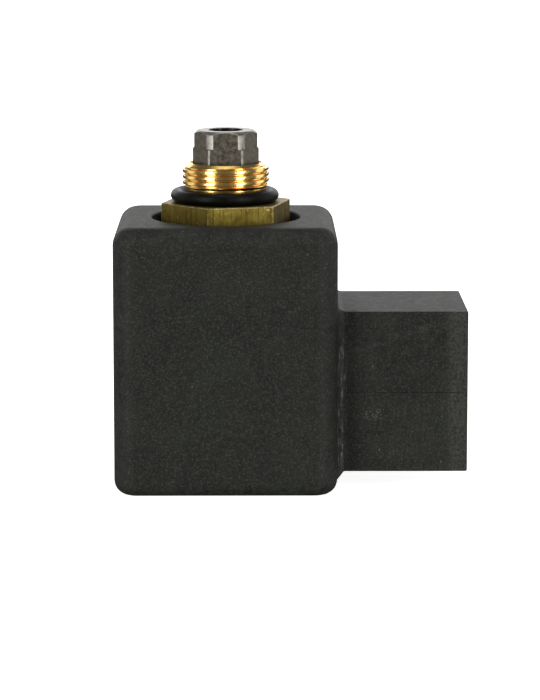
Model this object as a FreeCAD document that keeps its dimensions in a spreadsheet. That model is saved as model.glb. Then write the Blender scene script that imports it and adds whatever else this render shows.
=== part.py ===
"""Magnetic head of a solenoid valve: moulded coil, core tube with brass union, and plunger.

The head stands on the flat end of its coil with the plunger pointing up. Z runs along the valve's
axis, +X points to the electrical connector, and the origin is on the axis where the union's
external thread starts. Lengths are in millimetres.
"""

import FreeCAD, Part
import os

import Sketcher

SIZES = [
    # moulded coil
    ("coil_width", 40.0, "along X, without the connector"),
    ("coil_depth", 38.0, "along Y"),
    ("coil_height", 48.3, "along Z"),
    ("coil_corner_radius", 4.2, "vertical edges"),
    ("coil_top_radius", 3.0, "edge of the plunger end"),
    ("coil_base_radius", 2.0, "edge of the nut end"),
    ("end_wall", 2.5, "moulding between the frame and each recess"),
    ("side_wall", 3.5, "moulding outside the frame's side plates"),
    ("mould_gap", 0.05, "between the spool and the moulding around it"),
    # recesses of the coil
    ("flange_recess_gap", 1.43, "between the recess and the flange's corners"),
    ("flange_recess_depth", 3.0, "below the coil's plunger end"),
    ("nut_recess_gap", 1.34, "between the recess and the nut's corners"),
    ("nut_recess_depth", 4.8, "above the coil's nut end"),
    # connector on the side of the coil
    ("connector_reach", 23.5, "from the coil's side to the mouth"),
    ("connector_width", 24.3, "along Y"),
    ("connector_bottom", 3.4, "above the coil's nut end"),
    ("connector_height", 29.2, "along Z"),
    ("connector_seam", 14.45, "parting line above the connector's bottom"),
    ("connector_wall", 2.0, "shroud around the socket"),
    ("connector_edge", 0.35, "rounding of the shroud's outer edges"),
    ("seam_chamfer", 0.12, "on both sides of the parting line"),
    ("root_reach", 1.7, "moulded foot of the connector"),
    ("root_radius", 1.3, "concave rounding of that foot"),
    ("socket_depth", 16.0, "from the mouth to the socket's floor"),
    # terminals
    ("blade_width", 6.3, "of each tab"),
    ("blade_thickness", 0.8, "of each tab"),
    ("blade_recess", 4.6, "tab ends below the mouth"),
    ("blade_bevel", 0.25, "on the tab ends"),
    ("blade_spacing", 5.5, "line and neutral tabs from the seam"),
    ("blade_offset", 2.5, "line and neutral tabs, towards +Y"),
    ("earth_offset", 5.0, "earth tab, towards -Y"),
    ("lead_diameter", 1.0, "insulated lead"),
    # steel frame
    ("frame_width", 22.0, "along Y"),
    ("frame_plate", 2.5, "sheet thickness"),
    ("frame_window", 3.0, "slot that the leads pass through"),
    ("sleeve_wall", 1.0, "flux sleeves"),
    ("lower_sleeve_length", 11.0, "nut end"),
    ("upper_sleeve_length", 9.2, "plunger end"),
    # winding
    ("spool_flange_radius", 13.4, "bobbin flanges"),
    ("spool_flange", 1.4, "bobbin flange thickness"),
    ("spool_wall", 0.9, "bobbin tube wall"),
    ("winding_margin", 0.6, "flange edge beyond the winding's tape"),
    ("tape_thickness", 0.3, "insulation over the winding"),
    # core tube
    ("tube_diameter", 13.0, "outside"),
    ("tube_wall", 0.45, ""),
    ("tube_clearance", 0.08, "radial, between the tube and the coil"),
    ("tube_recess", 0.4, "tube end below the union's face"),
    ("tube_end_gap", 0.2, "tube end above the coil's floor"),
    # brass union
    ("flange_margin", 0.65, "flat beyond the seal that lies on the flange"),
    ("flange_turn", 45.3, "degrees that a corner is turned from -Y towards +X"),
    ("flange_exposed", 2.8, "above the coil's plunger end"),
    ("neck_length", 3.0, "between flange and thread"),
    ("shank_wall", 0.75, "neck and thread root, around the tube"),
    ("thread_length", 4.1, "with its chamfer"),
    ("thread_pitch", 1.06, ""),
    ("thread_depth", 0.6, "the neck has the root's diameter"),
    ("thread_crest", 0.14, "flat width of a crest"),
    ("face_width", 0.3, "flat ring at the thread's end, around the tube"),
    ("face_chamfer", 0.75, "height of the chamfer from that ring to the last crest"),
    # seals
    ("flange_seal_cord", 2.3, "seal on the hexagon flange"),
    ("flange_seal_slack", 0.3, "around the neck"),
    ("tube_seal_cord", 1.5, "seal between flange and coil"),
    ("stud_seal_cord", 1.4, "seal between stud and coil"),
    ("seal_gap", 0.05, "between a seal and what it lies on"),
    ("seal_room", 0.5, "between a seal and its groove's wall"),
    # fixed core
    ("stroke", 3.0, "plunger travel up to the fixed core"),
    ("stud_diameter", 10.0, ""),
    ("stud_clearance", 0.2, "radial, in the coil's floor"),
    ("stud_recess", 0.4, "stud end above the coil's nut end"),
    ("stud_chamfer", 0.5, ""),
    ("shading_outer_radius", 4.9, "copper ring"),
    ("shading_inner_radius", 3.9, "copper ring"),
    ("shading_depth", 1.8, ""),
    # retaining nut
    ("nut_width", 15.0, "across flats"),
    ("nut_height", 3.2, ""),
    ("nut_chamfer", 0.4, "edge of the nut's hole"),
    ("washer_diameter", 18.0, ""),
    ("washer_height", 0.8, ""),
    # plunger
    ("plunger_projection", 5.9, "beyond the union's face"),
    ("plunger_length", 37.6, ""),
    ("flat_depth", 0.7, "cut into the round bar by each of six flats"),
    ("plunger_clearance", 0.05, "radial, in the core tube"),
    ("land_length", 3.2, "end with corners turned down"),
    ("land_step", 0.25, "by which they are turned down"),
    ("plunger_chamfer", 0.6, "outer end"),
    ("inner_chamfer", 0.4, "inner end"),
    ("seat_diameter", 6.2, "hole for the seat seal"),
    ("seat_depth", 4.5, ""),
    ("seat_recess", 0.6, "seat seal below the plunger's end"),
    ("seat_chamfer", 0.25, ""),
    # return spring
    ("spring_bore_diameter", 6.4, "in the plunger's inner end"),
    ("spring_bore_depth", 12.0, ""),
    ("spring_diameter", 5.6, "over the wire"),
    ("spring_wire", 0.6, ""),
    ("spring_turns", 7.0, ""),
    ("spring_slack", 0.1, "left at the bore's end"),
]

doc = FreeCAD.newDocument("valve_head")
sheet = doc.addObject("Spreadsheet::Sheet", "sizes")
for row, (alias, value, note) in enumerate(SIZES, start=1):
    sheet.set(f"A{row}", alias)
    sheet.set(f"B{row}", str(value))
    sheet.setAlias(f"B{row}", alias)
    sheet.set(f"C{row}", note)
doc.recompute()


def size(alias):
    """Expression that reads one driving dimension."""
    return f"sizes.{alias}"


def half(expression):
    return f"({expression}) / 2"


def span(low, high):
    return f"({high}) - ({low})"


# Levels along Z, from the start of the union's thread.
UNION_FACE = size("thread_length")
FLANGE_TOP = "-sizes.neck_length"
COIL_TOP = f"({FLANGE_TOP} - sizes.flange_exposed)"
COIL_BASE = f"({COIL_TOP} - sizes.coil_height)"
FLANGE_SEAT = f"({COIL_TOP} - sizes.flange_recess_depth)"
FRAME_TOP = f"({FLANGE_SEAT} - sizes.end_wall)"
NUT_SEAT = f"({COIL_BASE} + sizes.nut_recess_depth)"
FRAME_BASE = f"({NUT_SEAT} + sizes.end_wall)"
SPOOL_TOP = f"({FRAME_TOP} - sizes.frame_plate)"
SPOOL_BASE = f"({FRAME_BASE} + sizes.frame_plate)"
TUBE_BASE = f"({FRAME_BASE} + sizes.tube_end_gap)"
TUBE_TOP = f"({UNION_FACE} - sizes.tube_recess)"
PLUNGER_TOP = f"({UNION_FACE} + sizes.plunger_projection)"
PLUNGER_BASE = f"({PLUNGER_TOP} - sizes.plunger_length)"
POLE_FACE = f"({PLUNGER_BASE} - sizes.stroke)"
STUD_END = f"({COIL_BASE} + sizes.stud_recess)"
CONNECTOR_BASE = f"({COIL_BASE} + sizes.connector_bottom)"
CONNECTOR_TOP = f"({CONNECTOR_BASE} + sizes.connector_height)"
SEAM = f"({CONNECTOR_BASE} + sizes.connector_seam)"
LINE_LEVEL = f"({SEAM} + sizes.blade_spacing)"
NEUTRAL_LEVEL = f"({SEAM} - sizes.blade_spacing)"

# Radii about the valve's axis.
TUBE_RADIUS = half(size("tube_diameter"))
TUBE_BORE = f"({TUBE_RADIUS} - sizes.tube_wall)"
COIL_BORE = f"({TUBE_RADIUS} + sizes.tube_clearance)"
SLEEVE_RADIUS = f"({COIL_BORE} + sizes.sleeve_wall)"
SPOOL_RADIUS = f"({SLEEVE_RADIUS} + sizes.spool_wall)"
TAPE_RADIUS = "(sizes.spool_flange_radius - sizes.winding_margin)"
WINDING_RADIUS = f"({TAPE_RADIUS} - sizes.tape_thickness)"
STUD_RADIUS = half(size("stud_diameter"))
ROOT_RADIUS = f"({TUBE_RADIUS} + sizes.shank_wall)"
CREST_RADIUS = f"({ROOT_RADIUS} + sizes.thread_depth)"
FLANGE_SEAL_RADIUS = f"({ROOT_RADIUS} + sizes.flange_seal_slack + sizes.flange_seal_cord / 2)"
FLANGE_WIDTH = f"(2 * ({FLANGE_SEAL_RADIUS} + sizes.flange_seal_cord / 2 + sizes.flange_margin))"
FLANGE_RECESS_RADIUS = f"({FLANGE_WIDTH} / sqrt(3) + sizes.flange_recess_gap)"
NUT_RECESS_RADIUS = "(sizes.nut_width / sqrt(3) + sizes.nut_recess_gap)"
PLUNGER_RADIUS = f"({TUBE_BORE} - sizes.plunger_clearance)"
LAND_RADIUS = f"({PLUNGER_RADIUS} - sizes.land_step)"

# Distances along X and Y.
COIL_SIDE = half(size("coil_width"))
FRAME_SIDE = f"({COIL_SIDE} - sizes.side_wall)"
FRAME_INSIDE = f"({FRAME_SIDE} - sizes.frame_plate)"
ROOT_FACE = f"({COIL_SIDE} + sizes.root_reach)"
MOUTH = f"({COIL_SIDE} + sizes.connector_reach)"
SOCKET_FLOOR = f"({MOUTH} - sizes.socket_depth)"
BLADE_END = f"({MOUTH} - sizes.blade_recess)"

PARTS = []


def value(expression):
    """Number that an expression of the sheet gives now."""
    return float(sheet.evalExpression(expression))


def settle(feature):
    """Recompute the document and refuse a feature that failed."""
    doc.recompute()
    if {"Invalid", "Error"} & set(feature.State):
        raise RuntimeError(f"{feature.Name} failed: {feature.getStatusString()}")
    return feature


def new_body(name):
    body = doc.addObject("PartDesign::Body", name)
    body.Label = name
    PARTS.append(body)
    return body


def new_sketch(body, name, role, offset="0"):
    """Sketch on one of the body's origin planes, moved along that plane's normal."""
    sketch = body.newObject("Sketcher::SketchObject", f"{body.Name}_{name}")
    planes = {feature.Role: feature for feature in body.Origin.OriginFeatures}
    sketch.AttachmentSupport = [(planes[role], "")]
    sketch.MapMode = "FlatFace"
    sketch.setExpression("AttachmentOffset.Base.z", offset)
    return sketch


def bind(sketch, constraint, expression):
    """Add a dimensional constraint whose value follows an expression."""
    index = sketch.addConstraint(constraint)
    sketch.setExpression(f"Constraints[{index}]", expression)


def add_circle(sketch, radius):
    origin = FreeCAD.Vector(0, 0, 0)
    up = FreeCAD.Vector(0, 0, 1)
    circle = sketch.addGeometry(Part.Circle(origin, up, value(radius)))
    sketch.addConstraint(Sketcher.Constraint("Coincident", circle, 3, -1, 1))
    bind(sketch, Sketcher.Constraint("Radius", circle, value(radius)), radius)
    return circle


def add_polygon(sketch, points):
    """Closed run of lines through points that are pairs of expressions, each one bound."""
    numbers = [FreeCAD.Vector(value(x), value(y), 0) for x, y in points]
    count = len(numbers)
    lines = [
        sketch.addGeometry(Part.LineSegment(numbers[i], numbers[(i + 1) % count]))
        for i in range(count)
    ]
    for i in range(count):
        sketch.addConstraint(
            Sketcher.Constraint("Coincident", lines[i], 2, lines[(i + 1) % count], 1)
        )
    for line, point, (x, y) in zip(lines, numbers, points):
        across = Sketcher.Constraint("DistanceX", -1, 1, line, 1, point.x)
        along = Sketcher.Constraint("DistanceY", -1, 1, line, 1, point.y)
        bind(sketch, across, x)
        bind(sketch, along, y)
    return lines


def add_rectangle(sketch, low_x, high_x, low_y, high_y):
    return add_polygon(sketch, [(low_x, low_y), (high_x, low_y), (high_x, high_y), (low_x, high_y)])


def add_hexagon(sketch, across_flats, turn="0"):
    """Hexagon whose first corner is turned from -Y towards +X by a number of degrees."""
    corners = []
    for i in range(6):
        angle = f"({turn} - 90 + {60 * i}) * 1 deg"
        radius = f"({across_flats}) / sqrt(3)"
        corners.append((f"{radius} * cos({angle})", f"{radius} * sin({angle})"))
    return add_polygon(sketch, corners)


def pad(body, sketch, length):
    feature = body.newObject("PartDesign::Pad", sketch.Name + "_pad")
    feature.Profile = sketch
    feature.setExpression("Length", length)
    return settle(feature)


def pocket(body, sketch, length):
    """Cut against the sketch's normal, and make sure that something was cut."""
    before = body.Shape.Volume
    feature = body.newObject("PartDesign::Pocket", sketch.Name + "_cut")
    feature.Profile = sketch
    feature.setExpression("Length", length)
    settle(feature)
    if body.Shape.Volume >= before:
        raise RuntimeError(f"{feature.Name} cuts nothing")
    return feature


def disc(body, name, radius, low, high):
    sketch = new_sketch(body, name, "XY_Plane", low)
    add_circle(sketch, radius)
    return pad(body, sketch, span(low, high))


def bore(body, name, radius, low, high):
    """Round cut between two levels."""
    sketch = new_sketch(body, name, "XY_Plane", high)
    add_circle(sketch, radius)
    return pocket(body, sketch, span(low, high))


def block(body, name, reach_x, reach_y, low, high):
    """Block centred on the axis, given by its half sizes."""
    sketch = new_sketch(body, name, "XY_Plane", low)
    add_rectangle(sketch, f"-({reach_x})", reach_x, f"-({reach_y})", reach_y)
    return pad(body, sketch, span(low, high))


def well(body, name, reach_x, reach_y, low, high):
    """Rectangular cut centred on the axis, between two levels."""
    sketch = new_sketch(body, name, "XY_Plane", high)
    add_rectangle(sketch, f"-({reach_x})", reach_x, f"-({reach_y})", reach_y)
    return pocket(body, sketch, span(low, high))


def side_block(body, name, y_range, z_range, start, end):
    """Block that runs along X from start to end."""
    sketch = new_sketch(body, name, "YZ_Plane", start)
    add_rectangle(sketch, *y_range, *z_range)
    return pad(body, sketch, span(start, end))


def side_slot(body, name, y_range, z_range, start, end):
    """Rectangular cut that runs along X from start to end."""
    sketch = new_sketch(body, name, "YZ_Plane", end)
    add_rectangle(sketch, *y_range, *z_range)
    return pocket(body, sketch, span(start, end))


def centred(middle, width):
    """Pair of expressions at both sides of a middle."""
    return f"{middle} - {half(width)}", f"{middle} + {half(width)}"


def pick_edges(shape, test):
    """Names of the edges whose every sampled point passes the test."""
    names = []
    for number, edge in enumerate(shape.Edges, start=1):
        if not edge.Degenerated and all(test(point) for point in edge.discretize(5)):
            names.append(f"Edge{number}")
    return names


def dress(body, kind, test, expression):
    """Fillet or chamfer of the body's edges that pass a test."""
    base = body.Tip
    names = pick_edges(base.Shape, test)
    if not names:
        raise RuntimeError(f"{body.Name} has no edge for its {kind}")
    feature = body.newObject(f"PartDesign::{kind}", f"{body.Name}_{kind}")
    feature.Base = (base, names)
    feature.setExpression("Radius" if kind == "Fillet" else "Size", expression)
    return settle(feature)


def near(first, second):
    return abs(first - second) < 1e-4


def revolve(body, name, points):
    """Turned piece from an outline of radius and level pairs."""
    sketch = new_sketch(body, name, "XZ_Plane")
    add_polygon(sketch, points)
    feature = body.newObject("PartDesign::Revolution", sketch.Name + "_turn")
    feature.Profile = sketch
    feature.ReferenceAxis = (sketch, ["V_Axis"])
    feature.Angle = 360
    return settle(feature)


def cut_flats(body, name, across_flats, low, high, turn="0"):
    """Mill six flats into a round piece."""
    sketch = new_sketch(body, name, "XY_Plane", high)
    add_circle(sketch, across_flats)
    add_hexagon(sketch, across_flats, turn)
    return pocket(body, sketch, span(low, high))


def ring(name, inner, outer, low, high):
    """Plain ring or bush."""
    body = new_body(name)
    return revolve(body, "section", [(inner, low), (outer, low), (outer, high), (inner, high)])


def seal_ring(name, centre_radius, cord, level):
    """Rubber ring of round section."""
    torus = doc.addObject("Part::Torus", name)
    torus.Label = name
    torus.setExpression("Radius1", centre_radius)
    torus.setExpression("Radius2", half(cord))
    torus.setExpression("Placement.Base.z", level)
    PARTS.append(torus)


def coil_encapsulation():
    body = new_body("coil_encapsulation")
    half_depth = half(size("coil_depth"))
    side = value(COIL_SIDE)
    front = value(half_depth)
    top = value(COIL_TOP)
    base = value(COIL_BASE)
    block(body, "block", COIL_SIDE, half_depth, COIL_BASE, COIL_TOP)
    dress(body, "Fillet", lambda p: near(abs(p.x), side) and near(abs(p.y), front),
          size("coil_corner_radius"))
    dress(body, "Fillet", lambda p: near(p.z, top), size("coil_top_radius"))
    dress(body, "Fillet", lambda p: near(p.z, base), size("coil_base_radius"))

    width = centred("0", size("connector_width"))
    side_block(body, "root", width, (CONNECTOR_BASE, CONNECTOR_TOP),
               f"{COIL_SIDE} - {half(size('side_wall'))}", ROOT_FACE)
    reach = value(half(size("connector_width"))) + 1e-3
    low = value(CONNECTOR_BASE) - 1e-3
    high = value(CONNECTOR_TOP) + 1e-3
    dress(body, "Fillet",
          lambda p: near(p.x, side) and abs(p.y) < reach and low < p.z < high,
          size("root_radius"))

    bore(body, "flange_recess", FLANGE_RECESS_RADIUS, FLANGE_SEAT, COIL_TOP)
    bore(body, "nut_recess", NUT_RECESS_RADIUS, COIL_BASE, NUT_SEAT)
    bore(body, "tube_bore", COIL_BORE, FRAME_BASE, FLANGE_SEAT)
    bore(body, "stud_hole", f"{STUD_RADIUS} + sizes.stud_clearance", NUT_SEAT, FRAME_BASE)
    bore(body, "tube_seal_groove", f"{TUBE_RADIUS} + sizes.tube_seal_cord + sizes.seal_room",
         f"{FLANGE_SEAT} - sizes.tube_seal_cord - 2 * sizes.seal_gap", FLANGE_SEAT)
    bore(body, "stud_seal_groove", f"{STUD_RADIUS} + sizes.stud_seal_cord + sizes.seal_room",
         NUT_SEAT, f"{NUT_SEAT} + sizes.stud_seal_cord + 2 * sizes.seal_gap")

    well(body, "frame_room", FRAME_SIDE, half(size("frame_width")), FRAME_BASE, FRAME_TOP)
    bore(body, "spool_room", "sizes.spool_flange_radius + sizes.mould_gap", SPOOL_BASE, SPOOL_TOP)
    for name, level in (("line_lead", LINE_LEVEL), ("neutral_lead", NEUTRAL_LEVEL)):
        sketch = new_sketch(body, name, "YZ_Plane", ROOT_FACE)
        add_lead_circle(sketch, level)
        pocket(body, sketch, span(FRAME_INSIDE, ROOT_FACE))
    side_slot(body, "earth_slot", centred("-sizes.earth_offset", size("blade_thickness")),
              centred(SEAM, size("blade_width")), FRAME_SIDE, ROOT_FACE)


def add_lead_circle(sketch, level):
    """Circle of a lead's size on a plane that faces +X."""
    radius = half(size("lead_diameter"))
    centre = FreeCAD.Vector(0, value(level), 0)
    up = FreeCAD.Vector(0, 0, 1)
    circle = sketch.addGeometry(Part.Circle(centre, up, value(radius)))
    sketch.addConstraint(Sketcher.Constraint("PointOnObject", circle, 3, -2))
    bind(sketch, Sketcher.Constraint("DistanceY", -1, 1, circle, 3, value(level)), level)
    bind(sketch, Sketcher.Constraint("Radius", circle, value(radius)), radius)


def connector_half(name, z_range, cavity_range, blade, earth_range):
    """One half of the connector's shroud, with the slots that hold its tabs."""
    body = new_body(name)
    width = centred("0", size("connector_width"))
    inside = (f"{width[0]} + sizes.connector_wall", f"{width[1]} - sizes.connector_wall")
    side_block(body, "shell", width, z_range, ROOT_FACE, MOUTH)
    mouth = value(MOUTH)
    seam = value(SEAM)
    edge_y = value(width[1])
    outer_z = value(z_range[0]) + value(z_range[1]) - seam
    round_test = lambda p: (
        (near(p.z, outer_z) and (near(abs(p.y), edge_y) or near(p.x, mouth)))
        or (near(p.x, mouth) and near(abs(p.y), edge_y))
    )
    dress(body, "Fillet", round_test, size("connector_edge"))
    dress(body, "Chamfer",
          lambda p: near(p.z, seam) and near(abs(p.y), edge_y), size("seam_chamfer"))
    side_slot(body, "socket", inside, cavity_range, SOCKET_FLOOR, MOUTH)
    level, offset = blade
    side_slot(body, "tab_slot", centred(offset, size("blade_width")),
              centred(level, size("blade_thickness")), ROOT_FACE, SOCKET_FLOOR)
    side_slot(body, "earth_slot", centred("-sizes.earth_offset", size("blade_thickness")),
              earth_range, ROOT_FACE, SOCKET_FLOOR)


def connector():
    wall = size("connector_wall")
    reach = half(size("blade_width"))
    connector_half("connector_housing_upper", (SEAM, CONNECTOR_TOP),
                   (SEAM, f"{CONNECTOR_TOP} - {wall}"), (LINE_LEVEL, size("blade_offset")),
                   (SEAM, f"{SEAM} + {reach}"))
    connector_half("connector_housing_lower", (CONNECTOR_BASE, SEAM),
                   (f"{CONNECTOR_BASE} + {wall}", SEAM), (NEUTRAL_LEVEL, size("blade_offset")),
                   (f"{SEAM} - {reach}", SEAM))


def terminal(name, y_range, z_range, start):
    """Flat tab with a bevelled end."""
    body = new_body(name)
    side_block(body, "tab", y_range, z_range, start, BLADE_END)
    end = value(BLADE_END)
    dress(body, "Chamfer", lambda p: near(p.x, end), size("blade_bevel"))


def terminals():
    across = centred(size("blade_offset"), size("blade_width"))
    thickness = size("blade_thickness")
    terminal("terminal_line", across, centred(LINE_LEVEL, thickness), ROOT_FACE)
    terminal("terminal_neutral", across, centred(NEUTRAL_LEVEL, thickness), ROOT_FACE)
    terminal("terminal_earth", centred("-sizes.earth_offset", thickness),
             centred(SEAM, size("blade_width")), FRAME_SIDE)


def lead(name, level):
    """Insulated wire from the winding's tape to its tab."""
    body = new_body(name)
    sketch = new_sketch(body, "section", "YZ_Plane", TAPE_RADIUS)
    add_lead_circle(sketch, level)
    pad(body, sketch, span(TAPE_RADIUS, ROOT_FACE))


def frame():
    half_width = half(size("frame_width"))
    body = new_body("yoke_frame")
    block(body, "outside", FRAME_SIDE, half_width, FRAME_BASE, FRAME_TOP)
    well(body, "inside", FRAME_INSIDE, f"{half_width} + sizes.frame_plate", SPOOL_BASE, FRAME_TOP)
    bore(body, "sleeve_hole", SLEEVE_RADIUS, FRAME_BASE, SPOOL_BASE)
    window = half(size("frame_window"))
    side_slot(body, "lead_window", centred("0", size("frame_window")),
              (f"{NEUTRAL_LEVEL} - {window}", f"{LINE_LEVEL} + {window}"), FRAME_INSIDE, FRAME_SIDE)

    plate = new_body("yoke_plate")
    block(plate, "plate", FRAME_INSIDE, half_width, SPOOL_TOP, FRAME_TOP)
    bore(plate, "sleeve_hole", SLEEVE_RADIUS, SPOOL_TOP, FRAME_TOP)

    ring("flux_sleeve_lower", COIL_BORE, SLEEVE_RADIUS, FRAME_BASE,
         f"{FRAME_BASE} + sizes.lower_sleeve_length")
    ring("flux_sleeve_upper", COIL_BORE, SLEEVE_RADIUS,
         f"{FRAME_TOP} - sizes.upper_sleeve_length", FRAME_TOP)


def spool():
    flange_radius = size("spool_flange_radius")
    winding_low = f"({SPOOL_BASE} + sizes.spool_flange)"
    winding_high = f"({SPOOL_TOP} - sizes.spool_flange)"
    revolve(new_body("bobbin"), "section", [
        (SLEEVE_RADIUS, SPOOL_BASE),
        (flange_radius, SPOOL_BASE),
        (flange_radius, winding_low),
        (SPOOL_RADIUS, winding_low),
        (SPOOL_RADIUS, winding_high),
        (flange_radius, winding_high),
        (flange_radius, SPOOL_TOP),
        (SLEEVE_RADIUS, SPOOL_TOP),
    ])
    ring("winding", SPOOL_RADIUS, WINDING_RADIUS, winding_low, winding_high)
    ring("winding_tape", WINDING_RADIUS, TAPE_RADIUS, winding_low, winding_high)


def core_tube():
    ring("core_tube", TUBE_BORE, TUBE_RADIUS, TUBE_BASE, TUBE_TOP)


def fixed_core():
    """Stop of the plunger, with the stud that carries the coil."""
    body = new_body("fixed_core")
    revolve(body, "section", [
        ("0", STUD_END),
        (f"{STUD_RADIUS} - sizes.stud_chamfer", STUD_END),
        (STUD_RADIUS, f"{STUD_END} + sizes.stud_chamfer"),
        (STUD_RADIUS, TUBE_BASE),
        (TUBE_BORE, TUBE_BASE),
        (TUBE_BORE, POLE_FACE),
        (size("shading_outer_radius"), POLE_FACE),
        (size("shading_outer_radius"), f"{POLE_FACE} - sizes.shading_depth"),
        (size("shading_inner_radius"), f"{POLE_FACE} - sizes.shading_depth"),
        (size("shading_inner_radius"), POLE_FACE),
        ("0", POLE_FACE),
    ])
    ring("shading_ring", size("shading_inner_radius"), size("shading_outer_radius"),
         f"{POLE_FACE} - sizes.shading_depth", POLE_FACE)


def thread_outline():
    """Points up the outside of the thread: crests a pitch apart, with a root between each two.

    The crests are rings. The last one ends where the chamfer starts.
    """
    chamfer_start = f"{UNION_FACE} - sizes.face_chamfer"
    room = value(chamfer_start) - value(size("thread_crest"))
    crests = int(room / value(size("thread_pitch"))) + 1
    flank = "(sizes.thread_pitch - sizes.thread_crest) * 0.42"
    points = [(ROOT_RADIUS, f"-{flank}")]
    for i in range(crests):
        low = f"{i} * sizes.thread_pitch"
        high = f"{low} + sizes.thread_crest"
        points += [(CREST_RADIUS, low), (CREST_RADIUS, high)]
        if i < crests - 1:
            points += [(ROOT_RADIUS, f"{high} + {flank}"),
                       (ROOT_RADIUS, f"{i + 1} * sizes.thread_pitch - {flank}")]
    return points


def union_nut():
    """Brass hexagon flange, neck and external thread."""
    body = new_body("union_nut")
    sketch = new_sketch(body, "flange", "XY_Plane", FLANGE_SEAT)
    add_hexagon(sketch, FLANGE_WIDTH, size("flange_turn"))
    pad(body, sketch, span(FLANGE_SEAT, FLANGE_TOP))
    bore(body, "flange_hole", TUBE_RADIUS, FLANGE_SEAT, FLANGE_TOP)
    revolve(body, "shank", [
        (TUBE_RADIUS, FLANGE_SEAT),
        (ROOT_RADIUS, FLANGE_SEAT),
        *thread_outline(),
        (f"{TUBE_RADIUS} + sizes.face_width", UNION_FACE),
        (TUBE_RADIUS, UNION_FACE),
    ])


def nut_and_washer():
    washer_base = f"({NUT_SEAT} - sizes.washer_height)"
    nut_base = f"({washer_base} - sizes.nut_height)"
    ring("lock_washer", STUD_RADIUS, half(size("washer_diameter")), washer_base, NUT_SEAT)
    body = new_body("retaining_nut")
    sketch = new_sketch(body, "hexagon", "XY_Plane", nut_base)
    add_hexagon(sketch, size("nut_width"))
    pad(body, sketch, size("nut_height"))
    bore(body, "hole", STUD_RADIUS, nut_base, washer_base)
    bottom = value(nut_base)
    stud = value(STUD_RADIUS)
    dress(body, "Chamfer",
          lambda p: near(p.z, bottom) and near((p.x**2 + p.y**2) ** 0.5, stud),
          size("nut_chamfer"))


def seals():
    flange_cord = size("flange_seal_cord")
    seal_ring("flange_seal",
              FLANGE_SEAL_RADIUS, flange_cord, f"{FLANGE_TOP} + {half(flange_cord)}")
    tube_cord = size("tube_seal_cord")
    seal_ring("tube_seal", f"{TUBE_RADIUS} + {half(tube_cord)} + sizes.seal_gap", tube_cord,
              f"{FLANGE_SEAT} - {half(tube_cord)} - sizes.seal_gap")
    stud_cord = size("stud_seal_cord")
    seal_ring("stud_seal", f"{STUD_RADIUS} + {half(stud_cord)} + sizes.seal_gap", stud_cord,
              f"{NUT_SEAT} + {half(stud_cord)} + sizes.seal_gap")


def plunger():
    """Hexagonal moving core with turned corners, a seat seal and a spring bore."""
    body = new_body("plunger")
    seat = half(size("seat_diameter"))
    spring_bore = half(size("spring_bore_diameter"))
    chamfer = size("plunger_chamfer")
    spring_seat = f"({PLUNGER_BASE} + sizes.spring_bore_depth)"
    seat_floor = f"({PLUNGER_TOP} - sizes.seat_depth)"
    revolve(body, "section", [
        ("0", spring_seat),
        (spring_bore, spring_seat),
        (spring_bore, PLUNGER_BASE),
        (f"{PLUNGER_RADIUS} - sizes.inner_chamfer", PLUNGER_BASE),
        (PLUNGER_RADIUS, f"{PLUNGER_BASE} + sizes.inner_chamfer"),
        (PLUNGER_RADIUS, f"{PLUNGER_TOP} - sizes.land_length"),
        (LAND_RADIUS, f"{PLUNGER_TOP} - sizes.land_length"),
        (LAND_RADIUS, f"{PLUNGER_TOP} - {chamfer}"),
        (f"{LAND_RADIUS} - {chamfer}", PLUNGER_TOP),
        (f"{seat} + sizes.seat_chamfer", PLUNGER_TOP),
        (seat, f"{PLUNGER_TOP} - sizes.seat_chamfer"),
        (seat, seat_floor),
        ("0", seat_floor),
    ])
    cut_flats(body, "flats", f"2 * ({PLUNGER_RADIUS} - sizes.flat_depth)", PLUNGER_BASE, PLUNGER_TOP, "30")
    ring_seal = new_body("plunger_seal")
    disc(ring_seal, "disc", seat, seat_floor, f"{PLUNGER_TOP} - sizes.seat_recess")


def return_spring():
    """Round wire coil between the plunger's bore and the fixed core."""
    body = new_body("return_spring")
    wire = half(size("spring_wire"))
    radius = f"{half(size('spring_diameter'))} - {wire}"
    start = f"{POLE_FACE} + {wire}"
    sketch = new_sketch(body, "wire", "XZ_Plane")
    centre = FreeCAD.Vector(value(radius), value(start), 0)
    up = FreeCAD.Vector(0, 0, 1)
    circle = sketch.addGeometry(Part.Circle(centre, up, value(wire)))
    across = Sketcher.Constraint("DistanceX", -1, 1, circle, 3, centre.x)
    along = Sketcher.Constraint("DistanceY", -1, 1, circle, 3, centre.y)
    bind(sketch, across, radius)
    bind(sketch, along, start)
    bind(sketch, Sketcher.Constraint("Radius", circle, value(wire)), wire)
    coil = body.newObject("PartDesign::AdditiveHelix", "return_spring_coil")
    coil.Profile = sketch
    coil.ReferenceAxis = (sketch, ["V_Axis"])
    coil.Mode = 2
    coil.setExpression("Height",
                       "sizes.stroke + sizes.spring_bore_depth - sizes.spring_wire - sizes.spring_slack")
    coil.setExpression("Turns", size("spring_turns"))
    settle(coil)


def check_and_write():
    """Refuse a document with a failed object, then write one file for each piece."""
    doc.recompute()
    for item in doc.Objects:
        if {"Invalid", "Error"} & set(item.State):
            raise RuntimeError(f"{item.Name} is {item.State}")
    for part in PARTS:
        if part.Shape.isNull() or not part.Shape.isValid() or part.Shape.Volume <= 0:
            raise RuntimeError(f"{part.Label} has no valid shape")
    os.makedirs("parts", exist_ok=True)
    for part in PARTS:
        part.Shape.exportStep(f"parts/{part.Label}.step")


coil_encapsulation()
connector()
terminals()
lead("lead_start", LINE_LEVEL)
lead("lead_finish", NEUTRAL_LEVEL)
frame()
spool()
core_tube()
fixed_core()
union_nut()
nut_and_washer()
seals()
plunger()
return_spring()
check_and_write()
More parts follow.
